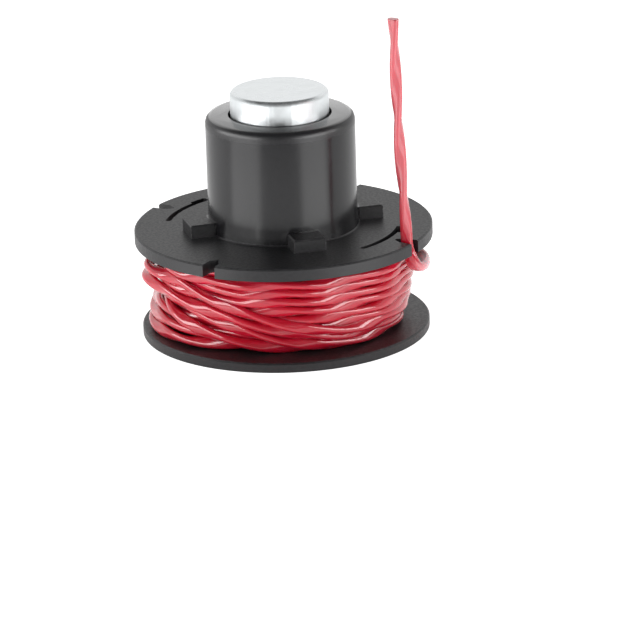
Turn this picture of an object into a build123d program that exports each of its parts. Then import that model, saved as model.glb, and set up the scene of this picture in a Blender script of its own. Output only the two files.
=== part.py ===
from build123d import *
import math
import os

# Trimmer line spool: a moulded spool with two flanges and a tall hub, a pressed steel bump cap in
# the hub's end, and a winding of twisted nylon line whose free end stands up through a rim notch.
# Millimetres. The origin is the centre of the lower flange's underside, and +Z runs up the axis.
# The drive lugs lie on +X, +Y, -X and -Y, and the line leaves at -45 degrees.

# Flanges and drum
flange_radius = 30.0
flange_thickness = 2.5
base_flange_radius = 29.0
base_flange_thickness = 1.9
winding_width = 17.3
drum_radius = 17.0
drum_wall = 2.2
rim_bevel = 0.3
edge_flats = 3

# Hub
hub_radius = 15.0
hub_height = 23.2
hub_wall = 2.2
hub_edge_radius = 1.4
hub_root_over_lugs = 0.35
hub_root_spread = 0.25
hub_foot_bevel = 0.2
hub_end_wall = 2.0

# Bump cap
cap_radius = 9.9
cap_stand_out = 4.9
cap_seat_depth = 6.9
cap_wall = 1.2
cap_edge_radius = 0.6
cap_press_clearance = 0.02
cap_mouth_gap = 0.5
cap_mouth_depth = 1.5

# Drive lugs round the hub
lug_count = 4
lug_reach = 5.0
lug_width = 6.6
lug_height = 2.65
lug_root_depth = 0.8
lug_bevel = 0.3

# Drive dogs inside the drum, half a step round from the lugs
dog_reach = 1.6
dog_width = 5.0
dog_height = 4.0
dog_recess = 1.0

# Rim notches, and the spring slots behind two of them
notch_width = 2.7
notch_depth = 4.4
notch_tip_length = 1.6
notch_tip_width = 0.6
slot_inset = 6.4
slot_width = 1.15
slot_half_angle = 18.5
slot_pocket_angle = 7.0
slot_pocket_shift = 0.7

# Line winding
line_diameter = 2.4
line_sides = 10
winding_depth = 9.4
winding_clearance = 0.1
turn_count = 7
turn_depth = 3.2
lean_count = 5
lean_angle = 6.0
lean_heading = 175.0
lean_shift = 1.0
crest_half_angle = 25.0
loose_turn_lean = 9.0
loose_turn_shift = 1.7
loose_turn_height = 12.3
cross_turn_lean = 5.0
cross_turn_heading = 20.0
cross_turn_height = 9.6
exit_turn_radius = 25.4
exit_turn_angle = 110.0

# Free end of the line: out of the winding, up through the notch and straight up to the cut end
tail_route = [
    Vector(26.19, -9.02, 16.2),
    Vector(25.34, -13.47, 16.2),
    Vector(23.64, -17.81, 16.2),
    Vector(20.86, -20.86, 16.9),
    Vector(19.91, -19.91, 20.6),
    Vector(19.85, -19.86, 24.9),
    Vector(19.24, -19.7, 35.0),
    Vector(18.63, -19.54, 51.2),
    Vector(18.33, -19.46, 67.4),
]
bend_share = 0.45

# Heights and radii that follow from the sizes above
base_top = base_flange_thickness
flange_low = base_top + winding_width
flange_top = flange_low + flange_thickness
root_top = flange_top + lug_height + hub_root_over_lugs
hub_top = flange_top + hub_height
seat_floor = hub_top - cap_seat_depth
well_end = seat_floor - hub_end_wall
well_radius = hub_radius - hub_wall
root_radius = hub_radius + hub_root_spread
drum_bore_radius = drum_radius - drum_wall
seat_radius = cap_radius + cap_press_clearance
mouth_radius = cap_radius + cap_mouth_gap
line_radius = line_diameter / 2
winding_radius = drum_radius + winding_depth
winding_low = base_top + winding_clearance
winding_high = flange_low - winding_clearance
winding_middle = (winding_low + winding_high) / 2
turn_pitch = (winding_high - winding_low - line_diameter) / (turn_count - 1)
step_angle = 360.0 / lug_count


def turned(corners):
    """Revolve a closed outline about Z. Each corner is a radius and a height."""
    return revolve(Plane.XZ * make_face(Polyline(*corners, close=True)), axis=Axis.Z)


def round_edge(radius, height, size):
    """Corners of a rounded upper edge, from the wall to the top, as a quarter circle in flats."""
    angles = [math.pi / 2 * i / edge_flats for i in range(edge_flats + 1)]
    return [
        (radius - size + size * math.cos(angle), height - size + size * math.sin(angle))
        for angle in angles
    ]


def ring_between(inner_radius, outer_radius, low, high):
    """A plain ring about Z between two radii and two heights."""
    return turned([
        (inner_radius, low),
        (outer_radius, low),
        (outer_radius, high),
        (inner_radius, high),
    ])


def round_the_axis(piece, count, start_angle):
    """Copies of a piece, evenly spaced about Z."""
    return [Rot(0, 0, start_angle + 360.0 * i / count) * piece for i in range(count)]


def spool_shell():
    """The turned form: lower flange, drum, upper flange, hub, cap seat and the open well below."""
    return turned([
        (drum_bore_radius, 0),
        (base_flange_radius, 0),
        (base_flange_radius, base_top - rim_bevel),
        (base_flange_radius - rim_bevel, base_top),
        (drum_radius, base_top),
        (drum_radius, flange_low),
        (flange_radius, flange_low),
        (flange_radius, flange_top - rim_bevel),
        (flange_radius - rim_bevel, flange_top),
        (root_radius + hub_foot_bevel, flange_top),
        (root_radius, flange_top + hub_foot_bevel),
        (hub_radius, root_top),
        *round_edge(hub_radius, hub_top, hub_edge_radius),
        (mouth_radius, hub_top),
        (mouth_radius, hub_top - cap_mouth_depth),
        (seat_radius, hub_top - cap_mouth_depth),
        (seat_radius, seat_floor),
        (0, seat_floor),
        (0, well_end),
        (well_radius, well_end),
        (well_radius, root_top),
        (drum_bore_radius, flange_low),
    ])


def drive_lug():
    """One bevelled block on the upper flange, rooted in the hub's wall."""
    length = lug_root_depth + lug_reach
    block = Box(length, lug_width, lug_height, align=(Align.MIN, Align.CENTER, Align.MIN))
    block = chamfer(block.faces().sort_by(Axis.Z)[-1].edges(), lug_bevel)
    return Pos(hub_radius - lug_root_depth, 0, flange_top) * block


def drive_dog():
    """One block on the drum's inner wall, set back from the underside."""
    root = drum_bore_radius + drum_wall / 2
    length = dog_reach + drum_wall / 2
    block = Box(length, dog_width, dog_height, align=(Align.MAX, Align.CENTER, Align.MIN))
    return Pos(root, 0, dog_recess) * block


def rim_notch():
    """One notch through the upper flange: parallel sides from the rim, then a pointed inner end."""
    tip = flange_radius - notch_depth
    shoulder = tip + notch_tip_length
    outside = flange_radius + notch_width
    outline = Polyline(
        (tip, -notch_tip_width / 2),
        (shoulder, -notch_width / 2),
        (outside, -notch_width / 2),
        (outside, notch_width / 2),
        (shoulder, notch_width / 2),
        (tip, notch_tip_width / 2),
        close=True,
    )
    return Pos(0, 0, flange_low) * extrude(make_face(outline), flange_thickness)


def spring_slot():
    """One arc slot through the upper flange, centred on +X, with a wider pocket at its upper end."""
    radius = flange_radius - slot_inset
    pocket_start = slot_half_angle - slot_pocket_angle
    long_arc = CenterArc((0, 0), radius, -slot_half_angle, 2 * slot_half_angle)
    pocket_arc = CenterArc((0, 0), radius + slot_pocket_shift, pocket_start, slot_pocket_angle)
    outline = SlotArc(long_arc, slot_width) + SlotArc(pocket_arc, slot_width)
    return Pos(0, 0, flange_low) * extrude(outline, flange_thickness)


def spool_body():
    """The whole moulding. The two slots mirror each other across the plane of the plain notches."""
    body = spool_shell()
    body += round_the_axis(drive_lug(), lug_count, 0)
    body += round_the_axis(drive_dog(), lug_count, step_angle / 2)
    body -= round_the_axis(rim_notch(), lug_count, step_angle / 2)
    exit_slot = Rot(0, 0, -step_angle / 2) * spring_slot()
    plain_notch_plane = Plane(origin=(0, 0, 0), z_dir=(1, -1, 0))
    body -= [exit_slot, mirror(exit_slot, about=plain_notch_plane)]
    return body


def bump_cap():
    """A pressed steel cup, mouth down, standing on the floor of its seat."""
    cap_top = hub_top + cap_stand_out
    inner_radius = cap_radius - cap_wall
    return turned([
        (inner_radius, cap_top - cap_wall),
        (inner_radius, seat_floor),
        (cap_radius, seat_floor),
        *round_edge(cap_radius, cap_top, cap_edge_radius),
        (0, cap_top),
        (0, cap_top - cap_wall),
    ])


def turn_stack(count, shift, lean, heading, height):
    """Turns lying side by side: shifted out towards their heading, and leaning up towards it.

    Each turn has a flat crest and two flanks. The flanks pass through the round line's widest points
    and run down to the neighbouring turn, and at both ends of the stack into the core.
    """
    ring_radius = winding_radius - line_radius
    crest = ring_radius + line_radius * math.cos(math.radians(crest_half_angle))
    crest_half_width = line_radius * math.sin(math.radians(crest_half_angle))
    spread = (line_radius - crest_half_width) / (crest - ring_radius)
    valley = crest - (turn_pitch / 2 - crest_half_width) / spread
    buried = winding_radius - turn_depth
    end_half_width = line_radius + spread * (ring_radius - buried)
    first = -turn_pitch * (count - 1) / 2
    corners = [(buried, first - end_half_width)]
    for i in range(count):
        middle = first + turn_pitch * i
        if i > 0:
            corners.append((valley, middle - turn_pitch / 2))
        corners += [(crest, middle - crest_half_width), (crest, middle + crest_half_width)]
    corners.append((buried, -first + end_half_width))
    return Rot(0, 0, heading) * Pos(shift, 0, height) * Rot(0, -lean, 0) * turned(corners)


def exit_turn():
    """The last stretch on the winding, swinging out to the flat face where the free end starts."""
    leave = (tail_route[1] - tail_route[0]).normalized()
    inward = leave.cross(Vector(0, 0, 1))
    section = Plane(origin=tail_route[0], z_dir=leave) * RegularPolygon(line_radius, line_sides)
    centre = tail_route[0] + inward * exit_turn_radius
    return revolve(section, axis=Axis(centre, (0, 0, 1)), revolution_arc=exit_turn_angle)


def line_winding():
    """All the turns as one solid: level turns, leaning turns over them, and three single turns."""
    inner_radius = drum_radius + winding_clearance
    core_radius = winding_radius - turn_depth + line_radius
    winding = ring_between(inner_radius, core_radius, winding_low, winding_high)
    winding += turn_stack(turn_count, 0, 0, 0, winding_middle)
    winding += turn_stack(lean_count, lean_shift, lean_angle, lean_heading, winding_middle)
    winding += turn_stack(1, loose_turn_shift, loose_turn_lean, lean_heading, loose_turn_height)
    winding += turn_stack(1, 0, cross_turn_lean, cross_turn_heading, cross_turn_height)
    winding += exit_turn()
    return winding & ring_between(inner_radius, flange_radius, winding_low, winding_high)


def line_tail():
    """The free end: a round tube on straight runs joined by the largest arcs that the runs allow."""
    runs = [b - a for a, b in zip(tail_route, tail_route[1:])]
    radii = []
    for before, after in zip(runs, runs[1:]):
        half_turn = math.radians(before.get_angle(after)) / 2
        radii.append(bend_share * min(before.length, after.length) / math.tan(half_turn))
    path = FilletPolyline(*tail_route, radius=radii)
    section = Plane(origin=tail_route[0], z_dir=runs[0]) * RegularPolygon(line_radius, line_sides)
    tube = sweep(section, path=path)
    expected = section.area * path.length
    print("line tail: length %.1f, volume %.1f of %.1f" % (path.length, tube.volume, expected))
    print("line tail: bend radii " + ", ".join("%.1f" % radius for radius in radii))
    return tube


pieces = {
    "spool_body": spool_body(),
    "bump_cap": bump_cap(),
    "line_winding": line_winding(),
    "line_tail": line_tail(),
}

os.makedirs("parts", exist_ok=True)
for name, piece in pieces.items():
    export_step(piece, "parts/" + name + ".step")
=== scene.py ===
"""Looks of the trimmer line spool: twisted nylon line, moulded black spool and zinc-plated bump cap.

The script's own sizes are millimetres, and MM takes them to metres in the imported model's frame, which has its
origin under the lower flange and +Z up the hub. A heading is an angle about Z in the photograph's frame,
where 0 is to the right and 90 is away from the camera.
"""
import math

import bmesh
import bpy
import numpy as np
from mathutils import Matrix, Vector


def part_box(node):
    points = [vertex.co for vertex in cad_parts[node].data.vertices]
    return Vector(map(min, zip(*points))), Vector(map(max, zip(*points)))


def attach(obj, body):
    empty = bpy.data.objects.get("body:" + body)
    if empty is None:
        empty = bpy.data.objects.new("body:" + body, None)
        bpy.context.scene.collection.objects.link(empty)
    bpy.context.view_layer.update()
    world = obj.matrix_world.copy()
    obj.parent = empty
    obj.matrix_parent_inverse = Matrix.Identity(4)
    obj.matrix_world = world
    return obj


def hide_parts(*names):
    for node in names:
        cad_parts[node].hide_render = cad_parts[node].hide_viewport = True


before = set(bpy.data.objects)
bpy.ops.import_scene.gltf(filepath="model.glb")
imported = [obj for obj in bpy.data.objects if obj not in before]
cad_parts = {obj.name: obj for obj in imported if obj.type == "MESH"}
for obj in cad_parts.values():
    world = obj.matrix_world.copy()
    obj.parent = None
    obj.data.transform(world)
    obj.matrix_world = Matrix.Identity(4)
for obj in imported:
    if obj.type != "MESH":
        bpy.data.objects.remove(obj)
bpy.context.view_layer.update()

MM = 0.001

# Camera, read from the photograph with a fitted perspective
photo_turn = math.radians(15)        # a heading less this is an angle from the model's X
camera_elevation = math.radians(17.569)
camera_roll = math.radians(-1.858)
camera_yaw = math.radians(0.384)
camera_pitch = math.radians(-1.119)
camera_distance = 1005.78            # to the middle of the upper flange's top face
flange_top = 21.7
camera_focal = 5000 / 640            # in image widths
sensor_width = 36.0

# The line's section, in millimetres
line_width = 2.4                     # the twisted section's wide side
line_lobe = 0.8                      # radius of each of the section's two lobes
lobe_hold = 3.0                      # how quickly the outline changes over from one lobe to the other
line_waist = 0.04                    # depth of the groove between the lobes
waist_spread = 0.5                   # of the distance from the middle to a lobe
twist_length = 31.0                  # line that makes one full turn about itself
line_facets = 14
winding_step, free_step = 0.95, 0.35  # distance between the tube's rings

# Winding, in millimetres
winding_radius = 25.2                # the outer turns' middle line
winding_sway = 0.5                   # how far the winding sits over to one side
winding_sway_heading = math.radians(190)
winding_lean = 0.13                  # how far it leans to the right for each millimetre of height
winding_middle = 10.5
drum_touch_radius = 18.2             # middle line of turns that lie on the drum
turn_contact = 1.55                  # distance at which two turns of the twisted line touch
points_per_turn = 36
even_reach, even_spread = 4, 1.6     # points over which the turns' radius is evened out
spline_steps = 10                    # of the smooth curve between two points

# Heights of each turn on its right-hand and left-hand side, from the top of the last full layer on. The
# slanted turns are laid over them, and their third number is the heading at which they are half way up
level_turns = [
    (18.2, 18.1), (16.8, 16.7), (15.2, 15.0), (13.4, 13.2), (11.5, 11.2),
    (9.6, 9.2), (7.8, 7.2), (6.0, 5.3), (4.2, 3.1),
]
slanted_turns = [(2.9, 9.6, -134), (3.3, 10.6, -114), (4.8, 11.6, -104), (6.2, 15.1, -106)]
level_half_way = -100
slant_spread = 100                   # degrees over which a slanted turn climbs
inner_layers = 3
inner_turns_per_layer = 8
inner_low, inner_high = 3.4, 17.7
inner_wobble = 0.35
wobble_seed = 11
quarter_turn = 0.25                  # from the back, where turns are counted, to the right-hand side
exit_height = 16.1
exit_share = 0.4833                  # of a full turn, from the last turn's left-hand side to the free end
exit_swing, exit_run = 1.2, 0.3      # how far the line swings out at its end, over this share of a turn
bulge_heading, bulge_spread = math.radians(187), math.radians(14)
bulge_height, bulge_middle, bulge_draw = 2.5, 14.4, 0.45
bulge_turns = 2                      # outer turns that stand out there
bulge_delay, bulge_fade = 0.4, 0.2   # share of a turn after which they start to, and over which it grows

# Free end: the control points of its tube in the model
tail_route = [
    (24.72, -8.18, 16.4), (24.88, -13.4, 16.3), (23.58, -18.23, 16.0), (21.6, -20.3, 16.1),
    (20.61, -20.43, 17.9), (19.91, -19.91, 20.6), (19.85, -19.86, 24.9), (19.24, -19.7, 35.0),
    (18.63, -19.54, 51.2), (18.33, -19.46, 67.4),
]
notch_height = 21.0                  # the wide side lies along the rim notch here
bend_before_notch = 8.5              # line between the notch and the tight bend under the flange
bend_run = 14.0                      # line before the notch that is bent without a twist
bend_length = 5.5
bend_flare = 0.4                     # share by which the tight bend swells the line

# Bump cap, in millimetres
cap_radius = 9.9
cap_wall = 1.2
cap_edge = 1.0
edge_lead = 1.5                      # of the edge's radius, where the flat faces begin
edge_steps, inner_edge_steps = 13, 6
cap_facets = 160

# Moulding, in millimetres
lug_half_width = 3.3
lug_end = 20.0
lug_top = 24.35
lug_margin = 0.1                     # slack of the masks that tell a lug from the faces around it
hub_radius = 15.0
hub_top = 44.9
hub_foot_fade = 0.5
root_inner, root_outer = 0.4, 0.6    # outside the hub's wall, where its finish ends
polish_start, polish_end = 0.3, 0.1  # below the hub's end, where its polish starts
rounding_start, rounding_end = 2.6, 1.6
rim_radius = 30.0
pale_edge_width = 0.25                     # width of the pale edges: scuffed in part, in part a painted highlight
join_distance = 1e-6                 # in metres, between corners that are one
flat_angle = math.radians(0.5)       # faces that meet at less are one face
sharp_corner = math.radians(35)      # faces that meet at a larger angle keep a sharp edge

# Black nylon. Colours are in linear light, noise scales are for millimetres, and reliefs are millimetres. A
# pair of roughness values runs from the smoothest to the roughest patches
black_deep, black_pale = (0.0060, 0.0058, 0.0070), (0.0110, 0.0105, 0.0125)
# Pale edge colour: scuffs in part, and in part a painted highlight on the lug and rim edges
scuff_and_highlight_color = (0.065, 0.065, 0.067)
flange_rough = (0.38, 0.48)
hub_rough = (0.19, 0.23)
rounding_rough = 0.36
polish_rough = 0.12
mottle_scale, mottle_detail = 1.8, 4.0
grain_scale, grain_share = 4.5, 0.5
edge_mark_scale, edge_mark_detail = 0.8, 3.0
edge_mark_low, edge_mark_high = 0.35, 0.6
black_relief, black_relief_strength = 0.05, 0.25

# Zinc plate
zinc_dull, zinc_bright = (0.76, 0.79, 0.80), (0.83, 0.86, 0.87)
zinc_wall = (0.76, 0.79, 0.80)
zinc_rough = (0.16, 0.44)
zinc_cloud_low, zinc_cloud_high = 0.2, 1.8
zinc_scale, zinc_detail = 0.35, 3.0
mark_scale, mark_detail = 1.6, 2.0
mark_relief, mark_relief_strength = 0.04, 0.45
wall_start, wall_end = 0.5, 0.1      # inside the cap's radius, where its wall starts

# Nylon line
red_deep, red_pale = (0.51, 0.005, 0.024), (0.62, 0.009, 0.036)
# Painted highlight: a pale pink painted into the line's colour in the tight bend and along the free end, and a
# painted sheen at a grazing angle
painted_highlight_pink = (0.92, 0.60, 0.64)
bend_painted_highlight = 0.95                   # share of it in the tight bend
free_end_painted_highlight = 0.14                   # and along the free end, from one distance past the notch to another
free_highlight_start, free_highlight_end = -1.0, 12.0
sheen_share, sheen_start, sheen_blend = 0.35, 0.7, 0.5
line_rough = (0.11, 0.17)
streak_stretch = (0.06, 9.0, 1.0)
streak_scale, streak_detail = 1.0, 3.0
streak_low, streak_high = 0.2, 0.8
streak_relief, streak_relief_strength = 0.05, 0.05
nylon_ior = 1.53
soak_weight, soak_depth = 0.6, 1.5
soak_colors = (1.0, 0.2, 0.22)
line_coat, line_coat_rough = 0.6, 0.08

# Light: strengths of the surroundings behind, in front and overhead
back_strength = 0.95
front_strength = 0.25
ceiling_strength = 0.15
front_edge, back_edge = -0.5, 0.7    # how far they face the back, where each side begins
ceiling_low, ceiling_high = 0.55, 0.85

# White floor
floor_reach = 6000
floor_drop = 0.02                    # below the part's underside, so that the two don't share a plane
floor_color = (0.93, 0.93, 0.93, 1)
floor_rough, floor_specular = 0.5, 0.1
floor_seen = 0.9
floor_glow = 0.7
floor_shade = 0.6                    # the same close to the spool
shade_reach = 3                      # rim radii over which that fades
fan_glow = 1.45                      # added on two fans of the floor, which mirrors show
left_fan_heading, left_fan_half = math.radians(-145.6), math.radians(23.2)
right_fan_heading, right_fan_half = math.radians(-40.7), math.radians(20.4)
fan_soft = math.radians(4)
white = (1, 1, 1, 1)

# Soft boxes, which only light, and before them the strips that only mirrors show
box_strength = 1.4
box_distance = 300
box_low, box_high = 10, 250
left_box_heading, left_box_width = math.radians(-152), 460
right_box_heading, right_box_width = math.radians(-36), 210
glint_strength = 6.5
cap_glint_strength = 0.85            # of the same strips on the cap
glint_distance = 255
glint_low, glint_high = 60, 185
left_glint_heading, left_glint_width = math.radians(-158), 370
right_glint_heading, right_glint_width = math.radians(-32), 320


def smooth_step(x):
    """Eases from 0 to 1 as x goes from 0 to 1, by 3x squared less 2x cubed."""
    x = np.clip(x, 0.0, 1.0)
    return x * x * (3 - 2 * x)


def photo_heading(turn):
    """Heading of a place along the line, which is counted in turns from the back, clockwise."""
    return math.pi / 2 - 2 * math.pi * turn


def turn_heights():
    """Right-hand height, left-hand height and half-way heading of every turn, from the drum outwards."""
    wobble = np.random.default_rng(wobble_seed)
    rows = []
    for layer in range(inner_layers):
        steps = np.linspace(inner_high, inner_low, inner_turns_per_layer)
        steps = steps if (inner_layers - layer) % 2 == 0 else steps[::-1]
        sides = steps[:, None] + wobble.uniform(-inner_wobble, inner_wobble, (inner_turns_per_layer, 2))
        rows.append(np.column_stack([sides, np.full(inner_turns_per_layer, level_half_way)]))
    rows.append(np.column_stack([level_turns, np.full(len(level_turns), level_half_way)]))
    rows.append(np.array(slanted_turns))
    return np.concatenate(rows)


def winding_heights(turns, rows):
    """Height along the line.

    In front it eases from a turn's right-hand to its left-hand height, and behind to the next turn's
    right-hand height.
    """
    half = np.floor(2 * turns - 0.5).astype(int)
    share = 2 * turns - 0.5 - half
    stations = np.append(rows[:, :2].ravel(), exit_height)
    start = stations[np.clip(half, 0, len(stations) - 1)]
    end = stations[np.clip(half + 1, 0, len(stations) - 1)]
    half_way = rows[np.clip(half // 2, 0, len(rows) - 1), 2]
    climb = 0.5 + (-180 * share - half_way) / -slant_spread
    eased = np.where(half % 2 == 0, smooth_step(climb), smooth_step(share))
    return start + (end - start) * eased


def outer_envelope(heading, height):
    """Radius that no turn lies outside: a cylinder that sits over to one side and leans to the other."""
    sway = winding_sway * np.cos(heading - winding_sway_heading)
    lean = winding_lean * (height - winding_middle) * np.cos(heading)
    return winding_radius + sway + lean


def evened(radius):
    """The radius along the line, averaged with its neighbours by a bell curve."""
    kernel = np.exp(-0.5 * (np.arange(-even_reach, even_reach + 1) / even_spread) ** 2)
    padded = np.pad(radius, even_reach, mode="edge")
    return np.convolve(padded, kernel / kernel.sum(), mode="valid")


def winding_points():
    """Middle line of all turns, laid from the outside in: a turn lies under the later ones that cross it.

    Two outer turns stand out on the left, drawn together, by a bell curve of the heading. At last all points
    move out a little, because a curve of second degree runs inside its control points.
    """
    rows = turn_heights()
    first, last = quarter_turn, len(rows) - quarter_turn + exit_share
    count = int(round((last - first) * points_per_turn))
    turns = np.linspace(first, last, count)
    heading = photo_heading(turns)
    height = winding_heights(turns, rows)
    radius = outer_envelope(heading, height)
    for i in range(count - 1, -1, -1):
        over = np.arange(i + points_per_turn, count, points_per_turn)
        near = np.concatenate([over - 1, over, over[:-1] + 1]) if len(over) else over
        rise = height[near] - height[i]
        under = radius[near] - np.sqrt(np.maximum(turn_contact ** 2 - rise ** 2, 0))
        touching = under[np.abs(rise) < turn_contact]
        radius[i] = max(min([radius[i], *touching]), drum_touch_radius)
    radius = evened(radius)
    off_bulge = np.angle(np.exp(1j * (heading - bulge_heading)))
    outer = smooth_step((turns - (len(rows) - bulge_turns + bulge_delay)) / bulge_fade)
    bulge = outer * np.exp(-(off_bulge / bulge_spread) ** 2)
    height += bulge_draw * bulge * (bulge_middle - height)
    radius += bulge_height * bulge + exit_swing * smooth_step((turns - (last - exit_run)) / exit_run)
    step = 2 * math.pi / points_per_turn
    radius *= 4 / (3 + math.cos(step))
    place = heading - photo_turn
    return np.column_stack([radius * np.cos(place), radius * np.sin(place), height])


def line_spline(points):
    """One smooth curve of second degree along the line's control points, with its ends on its end points."""
    data = bpy.data.curves.new("line_route", "CURVE")
    data.dimensions = "3D"
    spline = data.splines.new("NURBS")
    spline.points.add(len(points) - 1)
    spline.points.foreach_set("co", np.column_stack([points, np.ones(len(points))]).ravel())
    spline.order_u = 3
    spline.use_endpoint_u = True
    spline.resolution_u = spline_steps
    return bpy.data.objects.new("line_route", data)


def spline_path(points):
    """Points read along the smooth curve, as an array of places."""
    route = line_spline(points)
    bpy.context.scene.collection.objects.link(route)
    mesh = bpy.data.meshes.new_from_object(route)
    path = np.empty(3 * len(mesh.vertices))
    mesh.vertices.foreach_get("co", path)
    bpy.data.objects.remove(route)
    bpy.data.meshes.remove(mesh)
    return path.reshape(-1, 3)


def lobed_section(count):
    """The line's section: two round lobes side by side, pulled in a little between them."""
    angle = 2 * math.pi * (np.arange(count) + 0.5) / count
    reach = line_width / 2 - line_lobe
    wide = line_lobe * np.cos(angle) + reach * np.tanh(lobe_hold * np.cos(angle))
    waist = 1 - line_waist / line_lobe * np.exp(-(wide / (waist_spread * reach)) ** 2)
    return wide * MM, line_lobe * np.sin(angle) * waist * MM


def run_along(path):
    """Distance along a path from its start, at each of its points."""
    return np.append(0, np.cumsum(np.linalg.norm(np.diff(path, axis=0), axis=1)))


def even_path(path, free_start):
    """The same path with even steps: long ones on the winding, short ones on the free end."""
    run = run_along(path)
    wound = np.arange(0, free_start, winding_step * MM)
    free = np.linspace(free_start, run[-1], round((run[-1] - free_start) / (free_step * MM)))
    steps = np.append(wound, free)
    return np.column_stack([np.interp(steps, run, path[:, axis]) for axis in range(3)])


def unit(vectors):
    """The same directions, each with a length of 1."""
    return vectors / np.linalg.norm(vectors, axis=1, keepdims=True)


def twisted_tube(path, section, notch_run):
    """The section carried along the path and turned about it, with its wide side radial at the notch.

    The turn grows evenly along the line, but not in the tight bend before the notch, which swells the line.
    """
    wide, thick = section
    tangent = unit(np.gradient(path, axis=0))
    outward = path * (1, 1, 0)
    outward = unit(outward - tangent * np.sum(outward * tangent, axis=1, keepdims=True))
    across = np.cross(tangent, outward)
    run = (run_along(path) - notch_run) / MM
    turned = np.maximum(run, 0) + np.minimum(run + bend_run, 0)
    turn = 2 * math.pi * turned[:, None] / twist_length
    flare = 1 + bend_flare * np.exp(-((run + bend_before_notch) / bend_length) ** 2)
    wide_axis = np.cos(turn) * outward + np.sin(turn) * across
    thick_axis = np.cos(turn) * across - np.sin(turn) * outward
    spot = wide[:, None] * wide_axis[:, None] + thick[:, None] * thick_axis[:, None]
    return path[:, None] + flare[:, None, None] * spot


def tube_faces(rings, around, turned_over=False):
    """Quads between neighbouring rings, and one flat face on each end, or all of them facing the other way."""
    ring, spot = np.meshgrid(np.arange(rings - 1), np.arange(around), indexing="ij")
    here, beside = ring * around + spot, ring * around + (spot + 1) % around
    quads = np.stack([here, beside, beside + around, here + around], axis=-1).reshape(-1, 4)
    ends = [list(range(around))[::-1], list(range((rings - 1) * around, rings * around))]
    if turned_over:
        quads = quads[:, [0, 3, 2, 1]]
        ends = [end[::-1] for end in ends]
    return quads.tolist() + ends


def new_piece(name, vertices, faces):
    """A mesh object at the origin that rides on the part."""
    mesh = bpy.data.meshes.new(name)
    mesh.from_pydata(vertices.reshape(-1, 3), [], faces)
    mesh.update()
    piece = bpy.data.objects.new(name, mesh)
    bpy.context.scene.collection.objects.link(piece)
    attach(piece, "root")
    return piece


def trimmer_line():
    """The whole line as one tube: inner layers, level and slanted turns, and the free end through the notch.

    Its UV map holds the distance from the notch in millimetres and the share of the way round.
    """
    wound = winding_points()
    path = spline_path(np.concatenate([wound, np.array(tail_route)]) * MM)
    free_start = run_along(path)[np.argmin(np.linalg.norm(path - wound[-1] * MM, axis=1))]
    path = even_path(path, free_start)
    run = run_along(path)
    notch_run = run[np.argmax(path[:, 2] > notch_height * MM)]
    rings = twisted_tube(path, lobed_section(line_facets), notch_run)
    piece = new_piece("trimmer_line", rings, tube_faces(len(path), line_facets))
    smooth = np.append(np.ones(len(piece.data.polygons) - 2, bool), [False, False])
    piece.data.polygons.foreach_set("use_smooth", smooth)
    from_notch = (run - notch_run)[:, None] / MM
    way_round = np.arange(line_facets) / line_facets
    uv = np.stack(np.broadcast_arrays(from_notch, way_round), axis=-1).reshape(-1, 2)
    corners = np.empty(len(piece.data.loops), int)
    piece.data.loops.foreach_get("vertex_index", corners)
    uv_map = piece.data.uv_layers.new(name="along_line")
    uv_map.data.foreach_set("uv", uv[corners].astype(np.float32).ravel())
    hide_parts("line_winding", "line_tail")
    return piece


def merged_copy(node, name):
    """A copy of a model node with its triangles joined, flat faces whole and round faces shaded smooth."""
    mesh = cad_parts[node].data.copy()
    mesh.name = name
    mesh.attributes.remove(mesh.attributes["custom_normal"])
    work = bmesh.new()
    work.from_mesh(mesh)
    bmesh.ops.remove_doubles(work, verts=work.verts, dist=join_distance)
    bmesh.ops.dissolve_limit(work, angle_limit=flat_angle, verts=work.verts, edges=work.edges)
    work.to_mesh(mesh)
    work.free()
    mesh.shade_smooth()
    mesh.set_sharp_from_angle(angle=sharp_corner)
    piece = bpy.data.objects.new(name, mesh)
    bpy.context.scene.collection.objects.link(piece)
    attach(piece, "root")
    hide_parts(node)
    return piece


def arc(centre, radius, start, end, count):
    """Points on an arc in the radius and height plane, from one angle to another, in degrees."""
    angle = np.radians(np.linspace(start, end, count))
    return np.column_stack([centre[0] + radius * np.cos(angle), centre[1] + radius * np.sin(angle)])


def turned_cup():
    """The bump cap as a turned surface: an outline of radius and height carried round the axis.

    The outline runs from the top over the rounded edge, down the wall and up again inside. A flat face closes
    the top and the roof within.
    """
    low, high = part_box("bump_cap")
    foot, top, outer = low[2] / MM, high[2] / MM, high[0] / MM
    inner, roof = outer - cap_wall, top - cap_wall
    outline = np.concatenate([
        [(outer - edge_lead * cap_edge, top)],
        arc((outer - cap_edge, top - cap_edge), cap_edge, 90, 0, edge_steps),
        [(outer, top - edge_lead * cap_edge), (outer, foot), (inner, foot)],
        arc((inner - cap_edge, roof - cap_edge), cap_edge, 0, 90, inner_edge_steps),
    ]) * MM
    angle = 2 * math.pi * np.arange(cap_facets) / cap_facets
    ring = np.stack([np.cos(angle), np.sin(angle), np.ones(cap_facets)], axis=-1)
    rings = outline[:, None, [0, 0, 1]] * ring
    piece = new_piece("bump_cap_cup", rings, tube_faces(len(rings), cap_facets, turned_over=True))
    piece.data.shade_smooth()
    piece.data.set_sharp_from_angle(angle=sharp_corner)
    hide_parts("bump_cap")
    return piece


def fill(tree, shader, inputs):
    """Sets a shader node's inputs to values, or links them to other nodes' outputs."""
    for name, value in inputs.items():
        if isinstance(value, bpy.types.NodeSocket):
            tree.links.new(value, shader.inputs[name])
        else:
            shader.inputs[name].default_value = value


def node(tree, kind, inputs=(), **settings):
    """Adds a shader node with its settings and fills its inputs."""
    made = tree.nodes.new("ShaderNode" + kind)
    for name, value in settings.items():
        setattr(made, name, value)
    fill(tree, made, dict(inputs))
    return made


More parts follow.
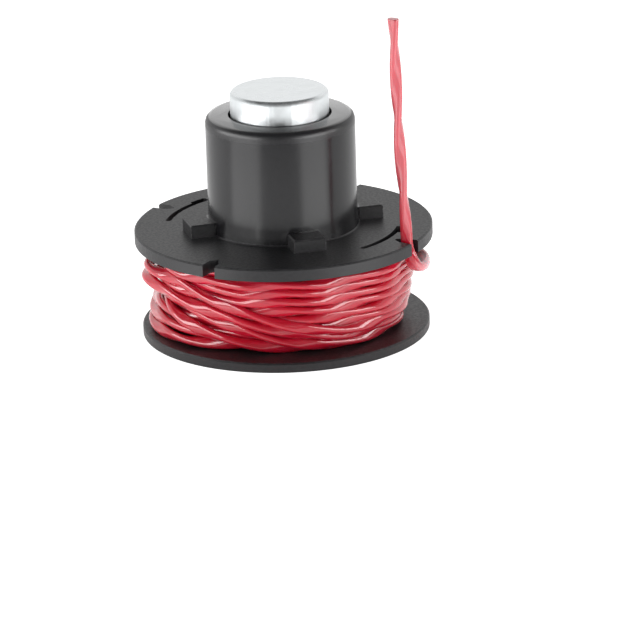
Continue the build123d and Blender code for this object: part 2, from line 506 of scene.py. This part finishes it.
def math_of(tree, operation, first, second=0.0):
    """One sum or product of two values or outputs."""
    return node(tree, "Math", {0: first, 1: second}, operation=operation).outputs[0]


def both(tree, first, second):
    """Where two masks overlap: their product."""
    return math_of(tree, "MULTIPLY", first, second)


def either(tree, first, second):
    """Where at least one of two masks is: the larger one."""
    return math_of(tree, "MAXIMUM", first, second)


def between(tree, value, low, high, out_low=0.0, out_high=1.0):
    """A value eased from one range to another, clamped at its ends."""
    inputs = {"Value": value, "From Min": low, "From Max": high, "To Min": out_low, "To Max": out_high}
    return node(tree, "MapRange", inputs, interpolation_type="SMOOTHSTEP").outputs[0]


def number_between(tree, share, first, second):
    """A number mixed from two numbers or outputs, by a share from 0 to 1."""
    return node(tree, "Mix", {"Factor": share, "A": first, "B": second}).outputs["Result"]


def color_between(tree, share, first, second):
    """A colour mixed from two colours or outputs, by a share from 0 to 1."""
    ends = [end if isinstance(end, bpy.types.NodeSocket) else (*end, 1) for end in (first, second)]
    mix = node(tree, "Mix", {"Factor": share, "A": ends[0], "B": ends[1]}, data_type="RGBA")
    return mix.outputs["Result"]


def vector_of(tree, operation, first, second=(0.0, 0.0, 0.0), output="Vector"):
    """One step of vector arithmetic."""
    return node(tree, "VectorMath", {0: first, 1: second}, operation=operation).outputs[output]


def bump_of(tree, height, strength, depth):
    """A relief of a depth in millimetres, as a normal."""
    return node(tree, "Bump", {"Height": height, "Strength": strength, "Distance": depth * MM}).outputs[0]


def new_material(name):
    """An empty material, with its node tree and its main shader."""
    material = bpy.data.materials.new(name)
    material.use_nodes = True
    tree = material.node_tree
    return material, tree, tree.nodes["Principled BSDF"]


def place_in_mm(tree):
    """The surface's own place in millimetres."""
    place = node(tree, "TexCoord").outputs["Object"]
    return node(tree, "VectorMath", {0: place, "Scale": 1 / MM}, operation="SCALE").outputs["Vector"]


def cloudy_mask():
    """Shared effect: soft cloudy noise over the piece's own place, eased between a low and a high level."""
    group = bpy.data.node_groups.new("cloudy_mask", "ShaderNodeTree")
    group.interface.new_socket("Place", in_out="INPUT", socket_type="NodeSocketVector")
    for name in ("Scale", "Detail", "Low", "High"):
        group.interface.new_socket(name, in_out="INPUT", socket_type="NodeSocketFloat")
    group.interface.new_socket("Mask", in_out="OUTPUT", socket_type="NodeSocketFloat")
    given = group.nodes.new("NodeGroupInput").outputs
    inputs = {"Vector": given["Place"], "Scale": given["Scale"], "Detail": given["Detail"]}
    cloud = node(group, "TexNoise", inputs)
    mask = between(group, cloud.outputs[0], given["Low"], given["High"])
    group.links.new(mask, group.nodes.new("NodeGroupOutput").inputs["Mask"])


def cloud_of(tree, place, scale, detail=2.0, low=0.3, high=0.7):
    """A cloudy mask placed in a material, with its own values."""
    inputs = {"Place": place, "Scale": scale, "Detail": detail, "Low": low, "High": high}
    return node(tree, "Group", inputs, node_tree=bpy.data.node_groups["cloudy_mask"]).outputs["Mask"]


def pale_edge(tree, place, face):
    """Mask that grows towards a face, over the width of a pale edge: scuffed in part, in part a painted
    highlight.
    """
    return between(tree, place, face - pale_edge_width, face - pale_edge_width / 3)


def within(tree, place, face):
    """Mask of what lies inside a face, with a little slack."""
    return between(tree, place, face + 2 * lug_margin, face + lug_margin)


def edge_scuff_and_highlight(tree, across, along, height, radius):
    """Mask of the pale edges, scuffed where they rub and with a painted highlight: where two of a lug's three
    faces meet, and the upper flange's rim.
    """
    end = pale_edge(tree, along, lug_end)
    side = pale_edge(tree, across, lug_half_width)
    top = pale_edge(tree, height, lug_top)
    corners = either(tree, both(tree, end, side), both(tree, end, top))
    corners = either(tree, corners, both(tree, side, top))
    on_lug = both(tree, within(tree, along, lug_end), within(tree, across, lug_half_width))
    lugs = both(tree, corners, on_lug)
    lugs = both(tree, lugs, between(tree, height, flange_top, flange_top + lug_margin))
    lugs = both(tree, lugs, between(tree, radius, hub_radius + 3 * lug_margin, hub_radius + 5 * lug_margin))
    rim = both(tree, pale_edge(tree, radius, rim_radius), pale_edge(tree, height, flange_top))
    return either(tree, lugs, rim)


def spool_plastic():
    """Black nylon: finely mottled flanges, a glossy hub and pale lug and rim edges, scuffed and with a painted
    highlight.

    The hub's end is polished, and its rounded edge is satin.
    """
    material, tree, shader = new_material("spool_plastic")
    place = place_in_mm(tree)
    size = node(tree, "SeparateXYZ", {0: vector_of(tree, "ABSOLUTE", place)})
    x, y, height = size.outputs["X"], size.outputs["Y"], size.outputs["Z"]
    radius = vector_of(tree, "LENGTH", node(tree, "CombineXYZ", {"X": x, "Y": y}).outputs[0], output="Value")
    hub = both(tree, between(tree, radius, hub_radius + root_outer, hub_radius + root_inner),
               between(tree, height, flange_top, flange_top + hub_foot_fade))
    polished = between(tree, height, hub_top - polish_start, hub_top - polish_end)
    below_end = between(tree, height, hub_top - rounding_start, hub_top - rounding_end)
    rounding = math_of(tree, "SUBTRACT", below_end, polished)
    mottle = cloud_of(tree, place, mottle_scale, mottle_detail)
    grain = cloud_of(tree, place, grain_scale)
    across = math_of(tree, "MINIMUM", x, y)
    along = math_of(tree, "MAXIMUM", x, y)
    # Pale lug and rim edges: scuffs in part, and in part a painted highlight along the edges
    scuff_and_highlight = both(tree, cloud_of(tree, place, edge_mark_scale, edge_mark_detail, edge_mark_low, edge_mark_high),
                edge_scuff_and_highlight(tree, across, along, height, radius))
    rough_flange = between(tree, mottle, 0.0, 1.0, *flange_rough)
    rough_wall = between(tree, grain, 0.0, 1.0, *hub_rough)
    rough_hub = number_between(tree, rounding, rough_wall, rounding_rough)
    tone = color_between(tree, mottle, black_deep, black_pale)
    relief = math_of(tree, "ADD", mottle, math_of(tree, "MULTIPLY", grain, grain_share))
    relief = both(tree, relief, between(tree, hub, 0.0, 1.0, 1.0, 0.0))
    fill(tree, shader, {
        "Base Color": color_between(tree, scuff_and_highlight, tone, scuff_and_highlight_color),
        "Roughness": number_between(tree, hub, rough_flange, rough_hub),
        "Normal": bump_of(tree, relief, black_relief_strength, black_relief),
        "Coat Weight": polished,
        "Coat Roughness": polish_rough,
    })
    return material


def cap_steel():
    """Zinc plate on pressed steel: cool white metal, cloudy on top, with upright marks on its wall."""
    material, tree, shader = new_material("cap_steel")
    place = place_in_mm(tree)
    cloud = cloud_of(tree, place, zinc_scale, zinc_detail)
    upright = node(tree, "Mapping", {"Vector": place, "Scale": (1.0, 1.0, 0.0)}).outputs[0]
    radius = vector_of(tree, "LENGTH", upright, output="Value")
    wall = between(tree, radius, cap_radius - wall_start, cap_radius - wall_end)
    marks = both(tree, cloud_of(tree, upright, mark_scale, mark_detail), wall)
    shine = color_between(tree, cloud, zinc_dull, zinc_bright)
    patches = math_of(tree, "ADD", cloud, wall)
    fill(tree, shader, {
        "Base Color": color_between(tree, wall, shine, zinc_wall),
        "Metallic": 1.0,
        "Roughness": between(tree, patches, zinc_cloud_low, zinc_cloud_high, *zinc_rough),
        "Normal": bump_of(tree, marks, mark_relief_strength, mark_relief),
    })
    return material


def line_nylon():
    """Translucent red nylon: light soaks in, the skin is glossy with faint drawn streaks along the line.

    Painted highlight: its colour is paler in the tight bend and a little along the free end, and a pale sheen
    is painted on at a grazing angle.
    """
    material, tree, shader = new_material("trimmer_line")
    along = node(tree, "UVMap", uv_map="along_line").outputs[0]
    stretched = node(tree, "Mapping", {"Vector": along, "Scale": streak_stretch}).outputs[0]
    streak = cloud_of(tree, stretched, streak_scale, streak_detail, streak_low, streak_high)
    from_notch = node(tree, "SeparateXYZ", {0: along}).outputs["X"]
    off_bend = math_of(tree, "ABSOLUTE", math_of(tree, "ADD", from_notch, bend_before_notch))
    # Painted highlight in the tight bend and on the free end, and a painted sheen at a grazing angle
    bend_highlight = between(tree, off_bend, bend_length, 0.0, 0.0, bend_painted_highlight)
    free_end_highlight = between(tree, from_notch, free_highlight_start, free_highlight_end, 0.0, free_end_painted_highlight)
    facing = node(tree, "LayerWeight", {"Blend": sheen_blend}).outputs["Facing"]
    sheen = between(tree, facing, sheen_start, 1.0, 0.0, sheen_share)
    painted_pale = either(tree, either(tree, bend_highlight, free_end_highlight), sheen)
    red = color_between(tree, streak, red_deep, red_pale)
    fill(tree, shader, {
        "Base Color": color_between(tree, painted_pale, red, painted_highlight_pink),
        "Roughness": between(tree, streak, 0.0, 1.0, *line_rough),
        "Normal": bump_of(tree, streak, streak_relief_strength, streak_relief),
        "IOR": nylon_ior,
        "Subsurface Weight": soak_weight,
        "Subsurface Radius": soak_colors,
        "Subsurface Scale": soak_depth * MM,
        "Coat Weight": line_coat,
        "Coat Roughness": line_coat_rough,
    })
    return material


def floor_fan(tree, place, heading, half):
    """Mask of a fan on the floor that opens from the spool's axis to both sides of a heading."""
    middle = (math.cos(heading - photo_turn), math.sin(heading - photo_turn), 0)
    outward = vector_of(tree, "NORMALIZE", place)
    cosine = vector_of(tree, "DOT_PRODUCT", outward, middle, output="Value")
    return between(tree, cosine, math.cos(half + fan_soft), math.cos(half - fan_soft))


def floor_white():
    """Plain white, lit to pure white where the camera sees it.

    Everything else sees two bright fans on it, which fade close to the spool.
    """
    material, tree, shader = new_material("floor_white")
    seen = node(tree, "LightPath").outputs["Is Camera Ray"]
    place = place_in_mm(tree)
    away = vector_of(tree, "LENGTH", place, output="Value")
    fans = math_of(tree, "ADD", floor_fan(tree, place, left_fan_heading, left_fan_half),
                   floor_fan(tree, place, right_fan_heading, right_fan_half))
    bright = math_of(tree, "ADD", math_of(tree, "MULTIPLY", fans, fan_glow), floor_glow)
    near = between(tree, away, shade_reach * rim_radius, rim_radius)
    mirrored = number_between(tree, near, bright, floor_shade)
    fill(tree, shader, {
        "Base Color": floor_color,
        "Roughness": floor_rough,
        "Specular IOR Level": floor_specular,
        "Emission Color": white,
        "Emission Strength": number_between(tree, seen, mirrored, floor_seen),
    })
    return material


def set_material(piece, material):
    """Gives a piece its one finish."""
    piece.data.materials.clear()
    piece.data.materials.append(material)


def turned(first, second, angle):
    """Two directions turned by an angle in their plane, the first towards the second."""
    sine, cosine = math.sin(angle), math.cos(angle)
    return first * cosine + second * sine, second * cosine - first * sine


def photo_camera():
    """Camera at the photograph's place: it looks at the upper flange's middle, then is turned a little."""
    sine, cosine = math.sin(camera_elevation), math.cos(camera_elevation)
    right = np.array([1.0, 0, 0])
    up = np.array([0, sine, cosine])
    forward = np.array([0, cosine, -sine])
    place = -forward * camera_distance * MM
    forward, right = turned(forward, right, camera_yaw)
    forward, up = turned(forward, up, camera_pitch)
    right, up = turned(right, up, camera_roll)
    turn = np.array([[math.cos(photo_turn), math.sin(photo_turn), 0],
                     [-math.sin(photo_turn), math.cos(photo_turn), 0], [0, 0, 1]])
    matrix = np.eye(4)
    matrix[:3, :3] = turn @ np.column_stack([right, up, -forward])
    matrix[:3, 3] = turn @ place + (0, 0, flange_top * MM)
    data = bpy.data.cameras.new("photo_camera")
    data.sensor_width = sensor_width
    data.lens = camera_focal * sensor_width
    camera = bpy.data.objects.new("photo_camera", data)
    bpy.context.scene.collection.objects.link(camera)
    camera.matrix_world = matrix.T.tolist()
    bpy.context.scene.camera = camera


def soft_box(name, heading, distance, width, low, high, strength):
    """An upright soft box that faces the spool, between two heights."""
    data = bpy.data.lights.new(name, "AREA")
    data.shape = "RECTANGLE"
    data.size, data.size_y = width * MM, (high - low) * MM
    data.energy = strength * math.pi * data.size * data.size_y
    light = bpy.data.objects.new(name, data)
    bpy.context.scene.collection.objects.link(light)
    place = heading - photo_turn
    x, y = distance * math.cos(place), distance * math.sin(place)
    light.location = (x * MM, y * MM, (high + low) / 2 * MM)
    light.rotation_euler = (math.pi / 2, 0, place + math.pi / 2)
    light.visible_camera = False
    return light


def surroundings():
    """Surroundings that are white behind the spool, dimmer towards the photographer and dark overhead."""
    world = bpy.data.worlds.new("studio")
    bpy.context.scene.world = world
    world.use_nodes = True
    tree = world.node_tree
    heading = math.pi / 2 - photo_turn
    direction = node(tree, "TexCoord").outputs["Generated"]
    behind = (math.cos(heading), math.sin(heading), 0)
    facing = vector_of(tree, "DOT_PRODUCT", direction, behind, output="Value")
    level = between(tree, facing, front_edge, back_edge, front_strength, back_strength)
    rise = node(tree, "SeparateXYZ", {0: direction}).outputs["Z"]
    overhead = between(tree, rise, ceiling_low, ceiling_high)
    strength = number_between(tree, overhead, level, ceiling_strength)
    fill(tree, tree.nodes["Background"], {"Strength": strength, "Color": white})


def floor_plane():
    """A wide square just below the part."""
    reach, level = floor_reach * MM, -floor_drop * MM
    corners = [(-reach, -reach, level), (reach, -reach, level), (reach, reach, level), (-reach, reach, level)]
    mesh = bpy.data.meshes.new("floor")
    mesh.from_pydata(corners, [], [(0, 1, 2, 3)])
    floor = bpy.data.objects.new("floor", mesh)
    bpy.context.scene.collection.objects.link(floor)
    set_material(floor, floor_white())


def studio():
    """White floor, white surroundings, and at each side a soft box that lights and a strip that mirrors show.

    The strips come in a bright set for the glossy pieces and a dim one for the plated cap.
    """
    floor_plane()
    surroundings()
    glossy = bpy.data.collections.new("glossy")
    plated = bpy.data.collections.new("plated")
    for name, heading, width in (("left_box", left_box_heading, left_box_width),
                                 ("right_box", right_box_heading, right_box_width)):
        box = soft_box(name, heading, box_distance, width, box_low, box_high, box_strength)
        box.visible_glossy = False
    for name, heading, width in (("left_glint", left_glint_heading, left_glint_width),
                                 ("right_glint", right_glint_heading, right_glint_width)):
        for receivers, strength in ((glossy, glint_strength), (plated, cap_glint_strength)):
            glint = soft_box(name, heading, glint_distance, width, glint_low, glint_high, strength)
            glint.visible_diffuse = False
            glint.light_linking.receiver_collection = receivers
    bpy.context.scene.view_settings.view_transform = "Standard"


cloudy_mask()
photo_camera()
studio()
line = trimmer_line()
set_material(line, line_nylon())
body = merged_copy("spool_body", "spool_moulding")
set_material(body, spool_plastic())
cup = turned_cup()
set_material(cup, cap_steel())
for piece in (line, body):
    bpy.data.collections["glossy"].objects.link(piece)
bpy.data.collections["plated"].objects.link(cup)
